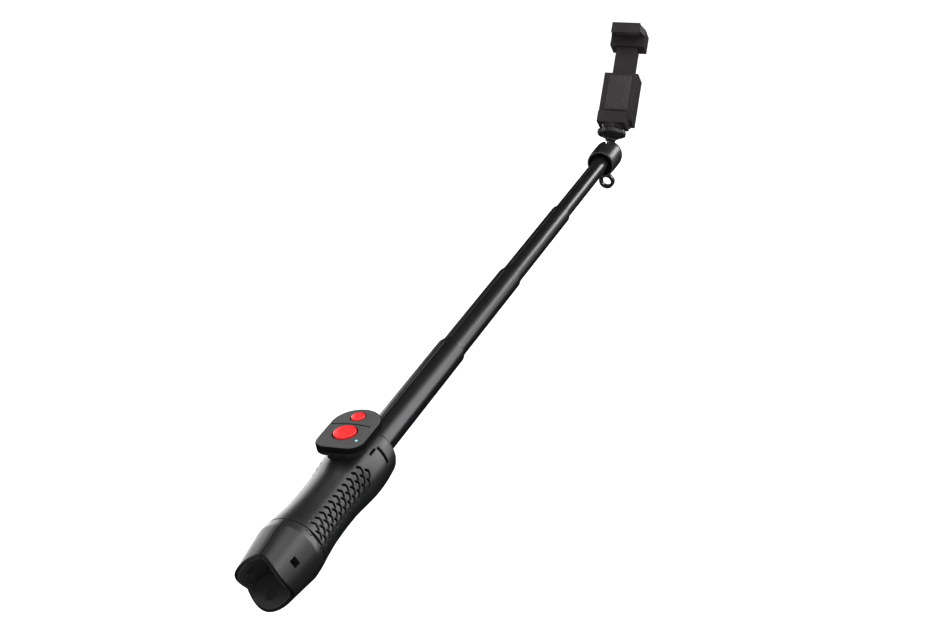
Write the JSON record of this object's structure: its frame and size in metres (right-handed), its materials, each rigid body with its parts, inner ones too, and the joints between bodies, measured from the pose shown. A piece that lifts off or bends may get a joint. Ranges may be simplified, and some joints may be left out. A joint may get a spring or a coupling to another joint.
{
  "type": "selfie stick",
  "caption": "Telescopic selfie stick: waisted grip ending in three folding legs, docked remote, telescoping tubes, ball head and spring phone clamp.",
  "frame": {"origin": "centre of the flat end cap inside the legs, on the stick's axis", "axes": "+Y along the stick from grip to phone clamp, +Z out of the grip's front face where the remote sits, +X to the right"},
  "size_m": [0.0362, 0.6146, 0.0974],
  "materials": {
    "grip_plastic": "moulded satin plastic",
    "grip_rubber": "soft-touch rubber with moulded chevrons",
    "leg_plastic": "satin moulded plastic",
    "foot_rubber": "matte rubber",
    "steel_pin": "ground steel",
    "tube_black": "satin black anodised",
    "nylon": "natural nylon",
    "head_plastic": "satin glass-filled nylon",
    "spring_steel": "spring steel",
    "stem_metal": "black zinc",
    "brass": "turned brass",
    "clamp_plastic": "satin moulded plastic",
    "clamp_rubber": "ribbed soft rubber",
    "remote_face": "fine-textured soft plastic",
    "remote_case": "satin moulded plastic",
    "button_red": "gloss red silicone",
    "led_blue": "clear tinted lens",
    "board": "solder-masked board",
    "switch_metal": "plated",
    "cell": "plated steel"
  },
  "bodies": {
    "grip": {"grip_core": "grip_plastic", "grip_sleeve": "grip_rubber", "end_cap": "grip_plastic", "collar": "grip_plastic", "remote_dock": "remote_case", "leg_hub": "leg_plastic", "hinge_pins": "steel_pin"},
    "leg_back": {"leg_back": "leg_plastic", "foot_back": "foot_rubber"},
    "leg_left": {"leg_left": "leg_plastic", "foot_left": "foot_rubber"},
    "leg_right": {"leg_right": "leg_plastic", "foot_right": "foot_rubber"},
    "tube_1": {"tube_1": "tube_black", "bush_1": "nylon"},
    "tube_2": {"tube_2": "tube_black", "bush_2": "nylon"},
    "tube_3": {"tube_3": "tube_black", "bush_3": "nylon"},
    "tube_4": {"tube_4": "tube_black", "bush_4": "nylon", "ball_housing": "head_plastic", "ball_retainer": "head_plastic", "ball_spring": "spring_steel", "ball_seat": "nylon"},
    "ball_stem": {"ball_stem": "stem_metal"},
    "lock_wheel": {"lock_wheel": "head_plastic", "wheel_nut": "brass"},
    "clamp": {"clamp_body": "clamp_plastic", "clamp_cover": "clamp_plastic", "cover_screws": "steel_pin", "thread_insert": "brass", "lower_pad": "clamp_rubber", "back_pad": "clamp_rubber", "guide_rods": "steel_pin", "spring_anchors": "steel_pin", "jaw_spring_left": "spring_steel", "jaw_spring_right": "spring_steel"},
    "upper_jaw": {"upper_jaw": "clamp_plastic", "upper_pad": "clamp_rubber"},
    "remote": {"remote_top": "remote_face", "remote_bottom": "remote_case", "status_lens": "led_blue", "remote_board": "board", "button_switches": "switch_metal", "coin_cell": "cell", "cell_contacts": "brass"},
    "big_button": {"big_button": "button_red"},
    "small_button": {"small_button": "button_red"},
    "battery_door": {"battery_door": "remote_case"}
  },
  "joints": [
    {"name": "leg_right_fold", "type": "hinge", "parent": "grip", "child": "leg_right", "pos_m": [0.01412, 0.0149, 0.00815], "axis": [-0.5, 0, 0.866], "range_deg": [0, 55]},
    {"name": "leg_back_fold", "type": "hinge", "parent": "grip", "child": "leg_back", "pos_m": [0, 0.0149, -0.0163], "axis": [1, 0, 0], "range_deg": [0, 55]},
    {"name": "leg_left_fold", "type": "hinge", "parent": "grip", "child": "leg_left", "pos_m": [-0.01412, 0.0149, 0.00815], "axis": [-0.5, 0, -0.866], "range_deg": [0, 55]},
    {"name": "tube_1_slide", "type": "slide", "parent": "grip", "child": "tube_1", "axis": [0, 1, 0], "range_m": [-0.088, 0]},
    {"name": "tube_2_slide", "type": "slide", "parent": "tube_1", "child": "tube_2", "axis": [0, 1, 0], "range_m": [-0.092, 0]},
    {"name": "tube_3_slide", "type": "slide", "parent": "tube_2", "child": "tube_3", "axis": [0, 1, 0], "range_m": [-0.092, 0]},
    {"name": "tube_4_slide", "type": "slide", "parent": "tube_3", "child": "tube_4", "axis": [0, 1, 0], "range_m": [-0.081, 0]},
    {"name": "ball_tilt", "type": "hinge", "parent": "tube_4", "child": "ball_stem", "pos_m": [0, 0.5125, 0], "axis": [1, 0, 0], "range_deg": [-64, 44]},
    {"name": "clamp_turn", "type": "hinge", "parent": "ball_stem", "child": "clamp", "pos_m": [0, 0.52689, 0.01389], "axis": [0, 0.7193, 0.6947], "continuous": true},
    {"name": "lock_turn", "type": "hinge", "parent": "ball_stem", "child": "lock_wheel", "pos_m": [0, 0.52401, 0.01111], "axis": [0, 0.7193, 0.6947], "range_deg": [-120, 0]},
    {"name": "jaw_open", "type": "slide", "parent": "clamp", "child": "upper_jaw", "axis": [0, 0.7193, 0.6947], "range_m": [-0.011, 0.018], "stiffness_N_per_m": 60, "springref_m": -0.011, "deforming": ["jaw_spring_left", "jaw_spring_right"]},
    {"name": "remote_lift", "type": "slide", "parent": "grip", "child": "remote", "axis": [0, 0, 1], "range_m": [0, 0.016]},
    {"name": "big_button_press", "type": "slide", "parent": "remote", "child": "big_button", "axis": [0, 0, 1], "range_m": [-0.0003, 0], "stiffness_N_per_m": 300, "springref_m": 0.0005},
    {"name": "small_button_press", "type": "slide", "parent": "remote", "child": "small_button", "axis": [0, 0, 1], "range_m": [-0.0003, 0], "stiffness_N_per_m": 300, "springref_m": 0.0005},
    {"name": "battery_door_turn", "type": "hinge", "parent": "remote", "child": "battery_door", "pos_m": [0, 0.0876, 0.013], "axis": [0, 0, 1], "range_deg": [0, 25]}
  ]
}
